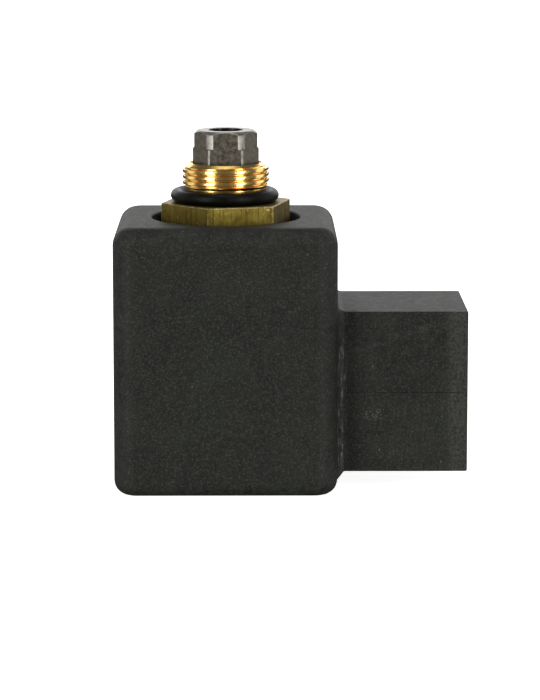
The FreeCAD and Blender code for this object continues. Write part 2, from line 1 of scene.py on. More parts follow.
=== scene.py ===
"""Looks of a solenoid valve's magnetic head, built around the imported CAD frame. Metres, +Z up."""

import math

import bmesh
import bpy
from mathutils import Matrix, Vector


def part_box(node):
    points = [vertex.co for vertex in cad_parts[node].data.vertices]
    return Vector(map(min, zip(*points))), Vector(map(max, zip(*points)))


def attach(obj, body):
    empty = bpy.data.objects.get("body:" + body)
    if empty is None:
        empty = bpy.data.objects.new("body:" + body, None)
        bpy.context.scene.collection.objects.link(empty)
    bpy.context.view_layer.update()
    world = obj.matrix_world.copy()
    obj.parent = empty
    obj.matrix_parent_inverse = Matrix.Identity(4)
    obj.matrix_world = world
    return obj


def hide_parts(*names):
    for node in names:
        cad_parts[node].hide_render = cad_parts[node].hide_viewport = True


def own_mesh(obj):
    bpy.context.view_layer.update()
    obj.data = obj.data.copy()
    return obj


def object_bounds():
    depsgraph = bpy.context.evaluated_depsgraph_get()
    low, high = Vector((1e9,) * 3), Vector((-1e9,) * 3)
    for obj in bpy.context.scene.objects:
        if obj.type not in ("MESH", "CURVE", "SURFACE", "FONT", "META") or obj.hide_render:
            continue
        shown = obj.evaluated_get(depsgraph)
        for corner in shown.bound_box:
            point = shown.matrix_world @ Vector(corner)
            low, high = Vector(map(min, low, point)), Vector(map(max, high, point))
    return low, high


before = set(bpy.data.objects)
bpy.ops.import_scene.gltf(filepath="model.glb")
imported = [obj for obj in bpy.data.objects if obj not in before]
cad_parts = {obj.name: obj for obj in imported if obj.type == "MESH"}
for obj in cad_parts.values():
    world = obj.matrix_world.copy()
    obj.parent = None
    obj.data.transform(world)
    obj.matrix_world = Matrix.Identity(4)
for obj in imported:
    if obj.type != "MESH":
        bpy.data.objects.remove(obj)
CAD_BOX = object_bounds()
MM = 0.001
TURN = 2 * math.pi

# ---------------------------------------------------------------- shader helpers


class Shade:
    """One procedural material: a Principled shader and the nodes that feed it.

    Textures follow the piece's own coordinates, in millimetres.
    """

    def __init__(self, name, **sockets):
        self.material = bpy.data.materials.new(name)
        self.material.use_nodes = True
        self.nodes = self.material.node_tree.nodes
        self.links = self.material.node_tree.links
        self.nodes.clear()
        self.output = self.nodes.new("ShaderNodeOutputMaterial")
        self.shader = self.nodes.new("ShaderNodeBsdfPrincipled")
        self.links.new(self.shader.outputs["BSDF"], self.output.inputs["Surface"])
        for socket, value in sockets.items():
            self.shader.inputs[socket.replace("_", " ")].default_value = value
        place = self.nodes.new("ShaderNodeTexCoord")
        self.mm = self.vector("MULTIPLY", place.outputs["Object"], (1 / MM, 1 / MM, 1 / MM))

    def put(self, socket, value):
        """Value or link into a node's input."""
        if isinstance(value, bpy.types.NodeSocket):
            self.links.new(value, socket)
        else:
            socket.default_value = value

    def feed(self, name, value):
        """Into one of the shader's inputs."""
        self.put(self.shader.inputs[name], value)

    def vector(self, operation, first, second):
        """Result of an operation on two vectors."""
        node = self.nodes.new("ShaderNodeVectorMath")
        node.operation = operation
        self.put(node.inputs[0], first)
        self.put(node.inputs[1], second)
        return node.outputs["Vector"]

    def math(self, operation, first, second=0.0):
        """Result of an operation on two numbers."""
        node = self.nodes.new("ShaderNodeMath")
        node.operation = operation
        self.put(node.inputs[0], first)
        self.put(node.inputs[1], second)
        return node.outputs["Value"]

    def axis(self, letter):
        """One coordinate, in millimetres."""
        node = self.nodes.new("ShaderNodeSeparateXYZ")
        self.links.new(self.mm, node.inputs[0])
        return node.outputs[letter]

    def noise(self, size, detail=3.0, rough=0.5, stretch=(1, 1, 1), warp=0.0, seed=0.0):
        """Soft noise whose features are about size millimetres across."""
        scaled = self.vector("MULTIPLY", self.mm, tuple(1 / (size * s) for s in stretch))
        moved = self.vector("ADD", scaled, (seed, seed * 0.7, -seed))
        node = self.nodes.new("ShaderNodeTexNoise")
        self.put(node.inputs["Vector"], moved)
        node.inputs["Scale"].default_value = 1.0
        node.inputs["Detail"].default_value = detail
        node.inputs["Roughness"].default_value = rough
        node.inputs["Distortion"].default_value = warp
        return node.outputs["Fac"]

    def cells(self, size, seed=0.0):
        """Distance from scattered points about size millimetres apart."""
        scaled = self.vector("MULTIPLY", self.mm, (1 / size, 1 / size, 1 / size))
        moved = self.vector("ADD", scaled, (seed, -seed, seed * 0.3))
        node = self.nodes.new("ShaderNodeTexVoronoi")
        self.put(node.inputs["Vector"], moved)
        node.inputs["Scale"].default_value = 1.0
        return node.outputs["Distance"]

    def step(self, value, low, high):
        """Smooth rise from 0 at low to 1 at high; falls where low is above high."""
        node = self.nodes.new("ShaderNodeMapRange")
        node.interpolation_type = "SMOOTHSTEP"
        self.put(node.inputs["Value"], value)
        if low <= high:
            node.inputs["From Min"].default_value = low
            node.inputs["From Max"].default_value = high
        else:
            node.inputs["From Min"].default_value = high
            node.inputs["From Max"].default_value = low
            node.inputs["To Min"].default_value = 1.0
            node.inputs["To Max"].default_value = 0.0
        return node.outputs["Result"]

    def window(self, value, low, high, soft):
        """1 between two values, falling to 0 within a soft distance outside them."""
        rise = self.step(value, low - soft, low)
        return self.math("MULTIPLY", rise, self.step(value, high + soft, high))

    def scale(self, value, low, high):
        """Straight line from low at 0 to high at 1."""
        node = self.nodes.new("ShaderNodeMapRange")
        self.put(node.inputs["Value"], value)
        node.inputs["To Min"].default_value = low
        node.inputs["To Max"].default_value = high
        return node.outputs["Result"]

    def both(self, *masks):
        """Product of several masks."""
        result = masks[0]
        for mask in masks[1:]:
            result = self.math("MULTIPLY", result, mask)
        return result

    def mix(self, amount, first, second):
        """Colour between two colours."""
        node = self.nodes.new("ShaderNodeMix")
        node.data_type = "RGBA"
        self.put(node.inputs["Factor"], amount)
        self.put(node.inputs["A"], first if not isinstance(first, tuple) else (*first, 1.0))
        self.put(node.inputs["B"], second if not isinstance(second, tuple) else (*second, 1.0))
        return node.outputs["Result"]

    def attribute(self, name):
        """Values stored on the mesh."""
        node = self.nodes.new("ShaderNodeAttribute")
        node.attribute_name = name
        return node.outputs["Fac"]

    def edges(self, radius):
        """Mask of the edges, some radius millimetres wide."""
        rounded = self.nodes.new("ShaderNodeBevel")
        rounded.samples = 6
        rounded.inputs["Radius"].default_value = radius * MM
        surface = self.nodes.new("ShaderNodeNewGeometry")
        node = self.nodes.new("ShaderNodeVectorMath")
        node.operation = "DOT_PRODUCT"
        self.links.new(rounded.outputs["Normal"], node.inputs[0])
        self.links.new(surface.outputs["Normal"], node.inputs[1])
        return self.step(node.outputs["Value"], 0.995, 0.87)

    def bump(self, height, distance, under=None):
        """Relief of a given depth in millimetres, on top of another relief."""
        node = self.nodes.new("ShaderNodeBump")
        node.inputs["Distance"].default_value = distance * MM
        self.put(node.inputs["Height"], height)
        if under is not None:
            self.links.new(under, node.inputs["Normal"])
        return node.outputs["Normal"]


# ---------------------------------------------------------------- materials


def moulding(name):
    """Matt charcoal thermoset: mottled grain, faint clouds, rare pale specks and rubbed edges.

    Returns the shade and its base colour, so that each part can add its own marks.
    """
    s = Shade(name, Roughness=0.7, Specular_IOR_Level=0.2)
    clouds = s.noise(9.0, detail=4, rough=0.6, warp=0.6)
    mottle = s.noise(1.1, detail=5, rough=0.8, seed=9.0)
    grain = s.noise(0.38, detail=2, rough=0.6, seed=4.0)
    base = s.mix(s.step(clouds, 0.3, 0.7), (0.0038, 0.0042, 0.0030), (0.0092, 0.0102, 0.0075))
    base = s.mix(s.both(s.step(mottle, 0.38, 0.68), 0.5), base, (0.0205, 0.0225, 0.0175))
    base = s.mix(s.both(s.step(grain, 0.47, 0.72), 0.6), base, (0.040, 0.0430, 0.0345))
    specks = s.both(s.step(s.cells(2.6, seed=3.0), 0.07, 0.03), s.step(clouds, 0.45, 0.6))
    base = s.mix(s.both(specks, 0.6), base, (0.14, 0.14, 0.12))
    rubbed = s.math("MAXIMUM", s.attribute("wear"), s.both(s.edges(0.3), 0.8))
    wear = s.both(rubbed, s.step(s.noise(1.6, detail=4, seed=2.0), 0.36, 0.62))
    base = s.mix(s.both(wear, 0.5), base, (0.055, 0.055, 0.048))
    s.feed("Base Color", base)
    s.feed("Roughness", s.scale(s.step(mottle, 0.3, 0.7), 0.55, 0.7))
    relief = s.bump(grain, 0.03)
    s.feed("Normal", s.bump(mottle, 0.04, relief))
    return s, base


def coil_moulding():
    """Moulding with a painted highlight, in pale streaks, down the front of the hollow where the
    connector's foot starts.
    """
    s, base = moulding("moulding")
    # Painted highlight: pale streaks on the front of the cove between the block and the connector's foot.
    hollow = s.both(
        s.window(s.axis("X"), 20.2, 21.3, 0.5),
        s.window(s.axis("Z"), -46.0, -31.0, 6.0),
        s.step(s.axis("Y"), -10.5, -11.5),
    )
    marks = s.step(s.noise(0.7, detail=4, rough=0.75, stretch=(0.6, 0.6, 3.5), seed=21.0), 0.53, 0.68)
    s.feed("Base Color", s.mix(s.both(hollow, marks, 0.75), base, (0.17, 0.17, 0.155)))
    return s.material


def connector_moulding():
    """Moulding of the shroud: drag lines, a scuffed spot, a slanting scrape and a paler front corner."""
    s, base = moulding("connector_moulding")
    across = s.axis("X")
    level = s.axis("Z")
    lines = s.step(s.noise(0.5, detail=3, rough=0.7, stretch=(0.45, 1, 12), seed=6.0), 0.5, 0.74)
    lower = s.both(s.window(level, -50.0, -38.0, 2.0), s.window(across, 31.0, 41.0, 3.0))
    base = s.mix(s.both(lines, lower, 0.4), base, (0.046, 0.047, 0.041))
    spot = s.both(s.window(across, 25.5, 27.5, 1.2), s.window(level, -40.6, -39.8, 0.9))
    flecks = s.step(s.noise(0.35, detail=3, rough=0.7, seed=15.0), 0.5, 0.66)
    base = s.mix(s.both(spot, flecks, 0.7), base, (0.12, 0.12, 0.11))
    slant = s.math("SUBTRACT", level, s.math("MULTIPLY", across, 0.33))
    broken = s.step(s.noise(2.2, detail=4, rough=0.65, seed=17.0), 0.35, 0.7)
    scrape = s.both(s.window(slant, -36.4, -36.1, 0.7), broken)
    base = s.mix(s.both(scrape, 0.3), base, (0.055, 0.056, 0.050))
    # Paler in patches towards the front right end of the shroud.
    corner = s.both(s.window(across, 41.2, 44.0, 2.2), s.step(s.axis("Y"), -11.0, -12.0))
    worn = s.step(s.noise(0.5, detail=3, rough=0.7, seed=26.0), 0.3, 0.7)
    base = s.mix(s.both(corner, worn, 0.6), base, (0.055, 0.057, 0.050))
    s.feed("Base Color", base)
    return s.material


def brass_bright():
    """Freshly cut brass of the thread."""
    s = Shade("brass_bright", Metallic=1.0, Roughness=0.2)
    tone = s.noise(1.2, detail=4, rough=0.6, stretch=(1, 1, 0.25), seed=1.0)
    base = s.mix(s.step(tone, 0.3, 0.75), (0.96, 0.68, 0.25), (0.80, 0.52, 0.13))
    stain = s.step(s.noise(0.7, detail=3, rough=0.7, seed=8.0), 0.62, 0.74)
    base = s.mix(s.both(stain, 0.55), base, (0.24, 0.13, 0.03))
    s.feed("Base Color", base)
    tool = s.noise(0.09, detail=2, rough=0.5, stretch=(40, 40, 1), seed=5.0)
    s.feed("Roughness", s.scale(s.step(tone, 0.3, 0.7), 0.17, 0.26))
    relief = s.bump(tool, 0.002)
    s.feed("Normal", s.bump(s.noise(0.35, detail=2, seed=3.0), 0.004, relief))
    return s.material


def brass_dull():
    """Drawn hexagon bar: olive, stained, scratched, with bright edges that are partly worn brass and
    partly a painted edge highlight.
    """
    s = Shade("brass_dull", Metallic=1.0, Roughness=0.5)
    clouds = s.noise(2.6, detail=5, rough=0.62, warp=0.5, seed=2.0)
    base = s.mix(s.step(clouds, 0.3, 0.7), (0.130, 0.094, 0.015), (0.205, 0.158, 0.033))
    streak = s.noise(0.45, detail=3, rough=0.7, stretch=(1, 1, 14), seed=7.0)
    base = s.mix(s.both(s.step(streak, 0.46, 0.68), 0.75), base, (0.070, 0.041, 0.008))
    fleck = s.step(s.noise(0.42, detail=2, rough=0.6, warp=0.8, seed=11.0), 0.66, 0.72)
    base = s.mix(s.both(fleck, 0.7), base, (0.60, 0.52, 0.28))
    # Bright edges: worn brass, and also a painted highlight along the edges.
    wear = s.both(s.edges(0.22), s.step(s.noise(0.8, detail=3, seed=4.0), 0.3, 0.55))
    base = s.mix(s.both(wear, 0.95), base, (0.95, 0.82, 0.46))
    s.feed("Base Color", base)
    s.feed("Roughness", s.scale(s.step(clouds, 0.25, 0.75), 0.58, 0.44))
    relief = s.bump(streak, 0.012)
    s.feed("Normal", s.bump(s.noise(0.5, detail=4, seed=6.0), 0.015, relief))
    return s.material


def steel(name, dark, light, rough, grain=0.25, relief=0.006, stretch=(1, 1, 1)):
    """Metal between two tones, with a fine mottled surface."""
    s = Shade(name, Metallic=1.0, Roughness=rough)
    tone = s.noise(grain * 3, detail=4, rough=0.65, stretch=stretch, seed=3.0)
    fine = s.noise(grain, detail=2, rough=0.6, stretch=stretch, seed=12.0)
    base = s.mix(s.step(tone, 0.3, 0.7), dark, light)
    base = s.mix(s.both(s.step(fine, 0.6, 0.75), 0.4), base, tuple(min(1, 1.7 * c) for c in light))
    base = s.mix(s.both(s.edges(0.12), 0.55), base, tuple(min(1, 2.0 * c) for c in light))
    s.feed("Base Color", base)
    s.feed("Roughness", s.scale(s.step(tone, 0.3, 0.7), rough - 0.06, rough + 0.08))
    s.feed("Normal", s.bump(fine, relief))
    return s.material


def rubber():
    """Satin black sealing rubber with faint flow marks and dust."""
    s = Shade("seal_rubber", Roughness=0.4, Specular_IOR_Level=0.1)
    tone = s.noise(1.4, detail=4, rough=0.6, seed=5.0)
    dust = s.step(s.noise(0.16, detail=2, rough=0.6, seed=13.0), 0.7, 0.78)
    base = s.mix(s.step(tone, 0.3, 0.7), (0.0012, 0.0012, 0.0007), (0.0026, 0.0026, 0.0017))
    base = s.mix(s.both(dust, 0.5), base, (0.10, 0.10, 0.08))
    s.feed("Base Color", base)
    s.feed("Roughness", s.scale(s.step(tone, 0.3, 0.7), 0.38, 0.5))
    s.feed("Normal", s.bump(s.noise(0.6, detail=3, seed=2.0), 0.004))
    return s.material


def plastic(name, dark, light, rough=0.4, size=1.5, stretch=(1, 1, 1)):
    """Plain plastic, tape or enamel with a little tone and grain."""
    s = Shade(name, Roughness=rough)
    tone = s.noise(size, detail=4, rough=0.6, stretch=stretch, seed=1.0)
    s.feed("Base Color", s.mix(s.step(tone, 0.3, 0.7), dark, light))
    s.feed("Normal", s.bump(s.noise(0.3, detail=2, seed=5.0), 0.01))
    return s.material


MATERIALS = {
    "moulding": coil_moulding(),
    "connector": connector_moulding(),
    "brass_bright": brass_bright(),
    "brass_dull": brass_dull(),
    "flat_steel": steel("plunger_flats", (0.082, 0.073, 0.056), (0.175, 0.156, 0.126), 0.48),
    "turned_steel": steel("plunger_lands", (0.19, 0.181, 0.160), (0.33, 0.315, 0.280), 0.42),
    # Walls of the plunger's holes: coloured near black as painted shade inside the holes.
    "bore_steel_painted_shade": steel("plunger_bores_painted_shade", (0.02, 0.018, 0.015), (0.045, 0.04, 0.034), 0.3),
    "rubber": rubber(),
    "tinned_brass": steel("tinned_brass", (0.55, 0.51, 0.43), (0.70, 0.66, 0.56), 0.3),
    "frame_steel": steel("frame_steel", (0.34, 0.34, 0.33), (0.46, 0.46, 0.45), 0.38, grain=0.5),
    "nut_steel": steel("nut_steel", (0.46, 0.46, 0.43), (0.60, 0.60, 0.57), 0.32),
    "stainless": steel("stainless", (0.42, 0.41, 0.39), (0.54, 0.53, 0.51), 0.28, stretch=(1, 1, 8)),
    "copper": steel("copper", (0.55, 0.24, 0.12), (0.75, 0.36, 0.20), 0.3),
    "spring_steel": steel("spring_steel", (0.42, 0.42, 0.41), (0.56, 0.56, 0.55), 0.28),
    "spool": plastic("spool_nylon", (0.50, 0.48, 0.41), (0.64, 0.62, 0.54)),
    "tape": plastic("winding_tape", (0.50, 0.34, 0.05), (0.66, 0.47, 0.09), 0.3),
    "enamel": plastic("enamelled_copper", (0.40, 0.13, 0.04), (0.62, 0.24, 0.08), 0.28,
                      size=0.3, stretch=(20, 20, 1)),
    "lead": plastic("lead_insulation", (0.42, 0.03, 0.02), (0.55, 0.06, 0.04), 0.4),
}

NODE_MATERIALS = {
    "coil_encapsulation": "moulding",
    "connector_housing_upper": "connector",
    "connector_housing_lower": "connector",
    "terminal_line": "tinned_brass",
    "terminal_neutral": "tinned_brass",
    "terminal_earth": "tinned_brass",
    "lead_start": "lead",
    "lead_finish": "lead",
    "yoke_frame": "frame_steel",
    "yoke_plate": "frame_steel",
    "flux_sleeve_lower": "frame_steel",
    "flux_sleeve_upper": "frame_steel",
    "bobbin": "spool",
    "winding": "enamel",
    "winding_tape": "tape",
    "core_tube": "stainless",
    "fixed_core": "turned_steel",
    "shading_ring": "copper",
    "union_nut": "brass_bright",
    "flange_seal": "rubber",
    "tube_seal": "rubber",
    "stud_seal": "rubber",
    "retaining_nut": "nut_steel",
    "lock_washer": "nut_steel",
    "return_spring": "spring_steel",
    "plunger": "turned_steel",
    "plunger_seal": "rubber",
}
for node, key in NODE_MATERIALS.items():
    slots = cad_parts[node].data.materials
    slots.clear()
    slots.append(MATERIALS[key])

# ---------------------------------------------------------------- mesh helpers


def low(node, axis):
    """Lowest coordinate of a CAD node, in millimetres."""
    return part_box(node)[0][axis] / MM


def high(node, axis):
    """Highest coordinate of a CAD node, in millimetres."""
    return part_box(node)[1][axis] / MM


def circle(radius, level, count):
    """Points of a level circle, from +X round to +Y."""
    return [
        (radius * math.cos(TURN * j / count), radius * math.sin(TURN * j / count), level)
        for j in range(count)
    ]


def polygon_ring(flat, limit, level, count, turn):
    """Hexagon with its flats at a distance, a corner at an angle and its corners turned to a limit."""
    ring = []
    for j in range(count):
        angle = TURN * j / count
        off = (math.degrees(angle - turn) + 30) % 60 - 30
        reach = min(flat / math.cos(math.radians(30 - abs(off))), limit)
        ring.append((reach * math.cos(angle), reach * math.sin(angle), level))
    return ring


def rounded_ring(half_x, half_y, radius, level, steps=8):
    """Rectangle with rounded corners, from +X round to +Y; each straight half has steps parts."""
    ring = []
    for quarter in range(4):
        sx = (1, -1, -1, 1)[quarter]
        sy = (1, 1, -1, -1)[quarter]
        corner = Vector((sx * (half_x - radius), sy * (half_y - radius)))
        begin = quarter * math.pi / 2
        bend = [
            corner + radius * Vector((math.cos(begin + a), math.sin(begin + a)))
            for a in [math.pi / 2 * k / steps for k in range(steps + 1)]
        ]
        axes = (Vector((half_x, 0)), Vector((0, half_y)), Vector((-half_x, 0)), Vector((0, -half_y)))
        middle = axes[quarter]
        after = axes[(quarter + 1) % 4]
        points = [middle.lerp(bend[0], k / steps) for k in range(steps)]
        points += bend
        points += [bend[-1].lerp(after, k / steps) for k in range(1, steps)]
        ring += [(p.x, p.y, level) for p in points]
    return ring


def build_mesh(name, fill):
    """Mesh of the faces that fill() adds to an empty bmesh, merged and facing outwards."""
    mesh = bpy.data.meshes.new(name)
    build = bmesh.new()
    build.verts.layers.float.new("wear")
    fill(build)
    bmesh.ops.remove_doubles(build, verts=build.verts, dist=2e-7)
    bmesh.ops.dissolve_degenerate(build, edges=build.edges, dist=1e-7)
    bmesh.ops.recalc_face_normals(build, faces=build.faces)
    build.to_mesh(mesh)
    build.free()
    return mesh


def add_ring(build, ring, wear=None):
    """Vertices of one ring given in millimetres; wear holds a value for each of them."""
    layer = build.verts.layers.float["wear"]
    row = []
    for j, point in enumerate(ring):
        vertex = build.verts.new(Vector(point) * MM)
        vertex[layer] = wear[j] if wear else 0.0
        row.append(vertex)
    return row


def bridge(build, first, second, material=0):
    """Band of faces between two rings of equally many points."""
    count = len(first)
    for j in range(count):
        k = (j + 1) % count
        face = build.faces.new((first[j], first[k], second[k], second[j]))
        face.material_index = material


def skin(build, rings, wears=None, close=True, materials=None):
    """Faces over rings of equally many points; close joins the last ring to the first."""
    rows = [add_ring(build, ring, wears[i] if wears else None) for i, ring in enumerate(rings)]
    for i in range(len(rows) - 1):
        bridge(build, rows[i], rows[i + 1], materials[i] if materials else 0)
    if close:
        bridge(build, rows[-1], rows[0], materials[-1] if materials else 0)
    return rows


def cap(build, row):
    """Fan over an end ring."""
    centre = sum((v.co for v in row), Vector()) / len(row)
    tip = build.verts.new(centre)
    for j, vertex in enumerate(row):
        build.faces.new((vertex, row[(j + 1) % len(row)], tip))


def arc(centre, radius, start, end, steps):
    """Points of a circular arc in a plane; angles in degrees."""
    points = []
    for k in range(steps + 1):
        angle = math.radians(start + (end - start) * k / steps)
        points.append((centre[0] + radius * math.cos(angle), centre[1] + radius * math.sin(angle)))
    return points


def lathe(name, outline, count=128, close=True):
    """Turned solid from radius and level pairs; an open outline gets flat ends."""

    def fill(build):
        rows = skin(build, [circle(r, z, count) for r, z in outline], close=close)
        if not close:
            cap(build, rows[0])
            cap(build, rows[-1])

    return build_mesh(name, fill)


def prism(name, rings):
    """Closed solid over rings, with flat ends."""

    def fill(build):
        rows = skin(build, rings, close=False)
        cap(build, rows[0])
        cap(build, rows[-1])

    return build_mesh(name, fill)


def brick(name, corner, opposite):
    """Cutting block between two corners given in millimetres."""
    (x0, y0, z0), (x1, y1, z1) = corner, opposite
    square = [(x0, y0), (x1, y0), (x1, y1), (x0, y1)]
    return prism(name, [[(x, y, z) for x, y in square] for z in (z0, z1)])


def combine(mesh, other, operation):
    """Boolean of two meshes, which are used up."""
    first = bpy.data.objects.new("first", mesh)
    second = bpy.data.objects.new("second", other)
    for item in (first, second):
        bpy.context.scene.collection.objects.link(item)
    modifier = first.modifiers.new("boolean", "BOOLEAN")
    modifier.operation = operation
    modifier.solver = "EXACT"
    modifier.object = second
    bpy.context.view_layer.update()
    graph = bpy.context.evaluated_depsgraph_get()
    name = mesh.name
    result = bpy.data.meshes.new_from_object(first.evaluated_get(graph))
    bpy.data.objects.remove(first)
    bpy.data.objects.remove(second)
    bpy.data.meshes.remove(mesh)
    bpy.data.meshes.remove(other)
    result.name = name
    return result


def add_piece(name, mesh, materials, body, replaced=(), sharp=28):
    """Put a finished mesh in the scene as a piece that stands for CAD nodes.

    Clearing the materials resets the faces' material numbers, so they are put back.
    """
    piece = bpy.data.objects.new(name, mesh)
    bpy.context.scene.collection.objects.link(piece)
    indices = [0] * len(mesh.polygons)
    mesh.polygons.foreach_get("material_index", indices)
    mesh.materials.clear()
    for material in materials:
        mesh.materials.append(MATERIALS[material])
    mesh.polygons.foreach_set("material_index", indices)
    mesh.shade_smooth()
    mesh.set_sharp_from_angle(angle=math.radians(sharp))
    normals = piece.modifiers.new("normals", "WEIGHTED_NORMAL")
    normals.keep_sharp = True
    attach(piece, body)
    if replaced:
        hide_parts(*replaced)
    return piece


# ---------------------------------------------------------------- moulded coil

# Rounds of the block's top, base and upright edges.
TOP_RADIUS = 3.2
BASE_RADIUS = 2.6
CORNER_RADIUS = 4.2
# Recesses for the union's flange and the nut.
RECESS_RIM = 0.35
RECESS_FILLET = 0.3
RECESS_RADIUS = 13.55
RECESS_DEPTH = 3.0
NUT_RECESS_RADIUS = 10.0
NUT_RECESS_DEPTH = 4.8
# Holes and the room for the frame and the winding.
TUBE_HOLE = 6.58
STUD_HOLE = 5.2
CAVITY_CORNER = 1.0
CAVITY_GAP = 0.1
ROUND_STEPS = 8
# Wear of the rims and rounds, from 0 to 1.
CORNER_WEAR = 0.8
RIM_WEAR = 0.5
NUT_RIM_WEAR = 0.4
TOP_WEAR = 0.25
BASE_WEAR = 0.35
# Foot of the connector; OVERLAP sinks it a little into the block, so that no faces coincide.
FOOT_FLARE = 1.8
FOOT_REACH = 1.5
FOOT_EDGE = 0.3
FOOT_DEPTH = 3.0
ROOT_EXTRA = 0.03
SLOPE_ANGLE = 37.4
OVERLAP = 0.02


def coil_rings():
    """Rings from the flange seat over the outside, up the nut recess and back through the inside."""
    side = -low("coil_encapsulation", 0)
    front = -low("coil_encapsulation", 1)
    top = high("coil_encapsulation", 2)
    base = low("coil_encapsulation", 2)
    seat = top - RECESS_DEPTH
    nut_seat = base + NUT_RECESS_DEPTH
    room_x = high("yoke_frame", 0)
    room_y = high("bobbin", 1) + CAVITY_GAP
    room_top = max(high("yoke_plate", 2), high("yoke_frame", 2))
    room_base = min(low("yoke_plate", 2), low("yoke_frame", 2))
    count = len(rounded_ring(1, 1, 0.1, 0))
    rings = []
    wears = []

    def add(ring, wear=0.0):
        """Ring with the same wear all round."""
        rings.append(ring)
        wears.append([wear] * count)

    def add_round(inset, level, wear):
        """Outside ring, more worn in the middle of its corners."""
        radius = CORNER_RADIUS - inset
        ring = rounded_ring(side - inset, front - inset, radius, level)
        rings.append(ring)
        row = []
        for x, y, unused in ring:
            from_side = side - inset - abs(x)
            from_front = front - inset - abs(y)
            corner = from_side < radius and from_front < radius
            row.append(max(wear, CORNER_WEAR * min(1.0, from_side / radius, from_front / radius) * corner))
        wears.append(row)

    add(circle(TUBE_HOLE, seat, count))
    add(circle(RECESS_RADIUS - RECESS_FILLET, seat, count))
    for r, z in arc((RECESS_RADIUS - RECESS_FILLET, seat + RECESS_FILLET), RECESS_FILLET, -90, 0, 3)[1:]:
        add(circle(r, z, count))
    for r, z in arc((RECESS_RADIUS + RECESS_RIM, top - RECESS_RIM), RECESS_RIM, 180, 90, 4):
        add(circle(r, z, count), RIM_WEAR)
    add(circle(RECESS_RADIUS + 2 * RECESS_RIM, top, count))
    for angle in [90 - 90 * k / ROUND_STEPS for k in range(ROUND_STEPS + 1)]:
        lift = math.radians(angle)
        level = top - TOP_RADIUS * (1 - math.sin(lift))
        add_round(TOP_RADIUS * (1 - math.cos(lift)), level, TOP_WEAR * math.sin(2 * lift))
    for angle in [-90 * k / ROUND_STEPS for k in range(ROUND_STEPS + 1)]:
        lift = math.radians(angle)
        level = base + BASE_RADIUS * (1 + math.sin(lift))
        add_round(BASE_RADIUS * (1 - math.cos(lift)), level, -BASE_WEAR * math.sin(2 * lift))
    for r, z in arc((NUT_RECESS_RADIUS + RECESS_RIM, base + RECESS_RIM), RECESS_RIM, -90, -180, 4):
        add(circle(r, z, count), NUT_RIM_WEAR)
    for radius, level in (
        (NUT_RECESS_RADIUS, nut_seat),
        (STUD_HOLE, nut_seat),
        (STUD_HOLE, room_base),
    ):
        add(circle(radius, level, count))
    add(rounded_ring(room_x, room_y, CAVITY_CORNER, room_base))
    add(rounded_ring(room_x, room_y, CAVITY_CORNER, room_top))
    add(circle(TUBE_HOLE, room_top, count))
    return rings, wears


def foot_mesh():
    """Foot of the connector: hollow flare at the front, back and top, and a straight slope below.

    The slope touches the round of the coil's base edge, at SLOPE_ANGLE from the side.
    """
    side = -low("coil_encapsulation", 0)
    coil_base = low("coil_encapsulation", 2)
    half_y = high("connector_housing_upper", 1)
    low_z = low("connector_housing_lower", 2)
    high_z = high("connector_housing_upper", 2)
    end = low("connector_housing_upper", 0)
    slope = math.radians(SLOPE_ANGLE)
    touch_x = side - BASE_RADIUS * (1 - math.cos(slope))
    touch_z = coil_base + BASE_RADIUS * (1 - math.sin(slope)) + OVERLAP
    widest = FOOT_FLARE + ROOT_EXTRA
    steps = 9
    stations = [(side - FOOT_DEPTH, widest), (touch_x, widest)]
    for k in range(steps + 1):
        lift = math.pi / 2 * k / steps
        out = FOOT_REACH * (1 - math.cos(lift)) - OVERLAP
        stations.append((side + out, FOOT_FLARE * (1 - math.sin(lift))))
    stations.append((end, 0.0))
    rings = []
    for x, flare in stations:
        base = min(low_z, touch_z + max(0.0, x - touch_x) / math.tan(slope))
        top = high_z + flare
        ring = rounded_ring(half_y + flare, (top - base) / 2, FOOT_EDGE + flare, 0)
        rings.append([(x, y, (top + base) / 2 + z) for y, z, unused in ring])
    return prism("foot", rings)


def add_coil():
    """Moulded block and the connector's foot in one mesh."""
    rings, wears = coil_rings()
    block = build_mesh("coil_block", lambda build: skin(build, rings, wears))
    mesh = combine(block, foot_mesh(), "UNION")
    add_piece("coil_block", mesh, ["moulding"], "coil", ["coil_encapsulation"], 20)


# ---------------------------------------------------------------- connector shroud

WALL = 2.0
SOCKET_DEPTH = 16.0
# Rounds of the outside and of the seam, and the least round left at the mouth.
SHROUD_EDGE = 0.22
SEAM_EDGE = 0.15
SMALLEST_EDGE = 0.02
# How far the cutting block reaches out past an open side.
OVERCUT = 5.0


def corner_ring(low_corner, high_corner, radii, steps=3):
    """Rectangle in Y and Z, anticlockwise, with a radius for each corner from the lowest Y and Z."""
    (y0, z0), (y1, z1) = low_corner, high_corner
    ring = []
    corners = ((y0, z0, 1, 1), (y1, z0, -1, 1), (y1, z1, -1, -1), (y0, z1, 1, -1))
    for quarter, ((y, z, sy, sz), radius) in enumerate(zip(corners, radii)):
        start = 180 + 90 * quarter
        ring += arc((y + sy * radius, z + sz * radius), radius, start, start + 90, steps)
    return ring


